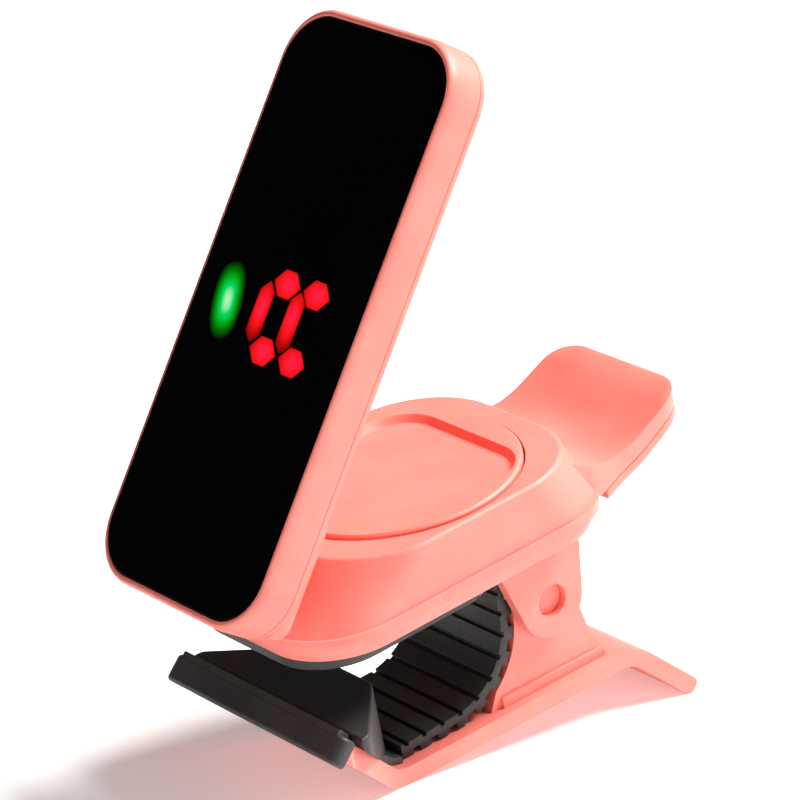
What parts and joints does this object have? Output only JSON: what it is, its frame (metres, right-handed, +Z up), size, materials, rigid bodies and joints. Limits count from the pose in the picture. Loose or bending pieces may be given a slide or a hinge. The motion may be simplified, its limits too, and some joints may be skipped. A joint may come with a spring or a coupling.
{
  "type": "clip-on tuner",
  "caption": "Spring clip with a tilting, lit note display and a twist-off battery lid, for tuning string instruments by vibration.",
  "frame": {"origin": "middle of the standing object's bounding box, on the floor", "axes": "+Z up, +X across the clip (width), -Y towards the mouth and the display's window, +Y towards the handles"},
  "size_m": [0.0242, 0.0502, 0.0619],
  "materials": {
    "coral_plastic": "fine matte texture",
    "black_rubber": "satin",
    "steel": "bright nickel",
    "brass": "satin",
    "window_black": "polished smoke black",
    "board_green": "solder resist",
    "black_parts": "moulded",
    "red_light": "lit from behind",
    "green_light": "lit",
    "white_led": "unlit"
  },
  "bodies": {
    "lower_jaw": {"lower_jaw": "coral_plastic", "lip_boot": "black_rubber", "throat_liner": "black_rubber", "spring_arbor": "steel", "torsion_spring": "steel"},
    "upper_jaw": {"battery_housing": "coral_plastic", "bottom_cover": "coral_plastic", "cover_screws": "steel", "upper_pad": "black_rubber", "coin_cell": "steel", "positive_contact": "steel", "negative_contact": "steel", "piezo_sensor": "brass"},
    "battery_lid": {"battery_lid": "coral_plastic", "lid_cushion": "black_rubber"},
    "display_head": {"display_case": "coral_plastic", "display_back": "coral_plastic", "display_window": "window_black", "circuit_board": "board_green", "digit_reflector": "black_parts", "digit_bars_lit": "red_light", "digit_bar_dark": "black_parts", "green_led": "green_light", "meter_leds": "white_led", "power_switch": "black_parts", "tuner_chip": "black_parts", "crystal": "steel", "capacitors": "black_parts", "case_screws": "steel", "hinge_pin": "steel", "hinge_washers": "black_parts"},
    "power_button": {"power_button": "coral_plastic"}
  },
  "joints": [
    {"name": "jaw_pivot", "type": "hinge", "parent": "lower_jaw", "child": "upper_jaw", "pos_m": [0, 0.00886, 0.01241], "axis": [-1, 0, 0], "range_deg": [0, 25], "stiffness_Nm_per_rad": 0.03, "springref_deg": -28.65},
    {"name": "display_tilt", "type": "hinge", "parent": "upper_jaw", "child": "display_head", "pos_m": [0, -0.01859, 0.02117], "axis": [1, 0, 0], "range_deg": [-25, 18]},
    {"name": "lid_twist", "type": "hinge", "parent": "upper_jaw", "child": "battery_lid", "pos_m": [0, -0.00217, 0.02398], "axis": [0, -0.2059, 0.9786], "range_deg": [0, 35]},
    {"name": "power_button", "type": "slide", "parent": "display_head", "child": "power_button", "axis": [0, -0.8909, 0.4542], "range_m": [0, 0.00035], "stiffness_N_per_m": 800, "springref_m": -0.0005}
  ]
}
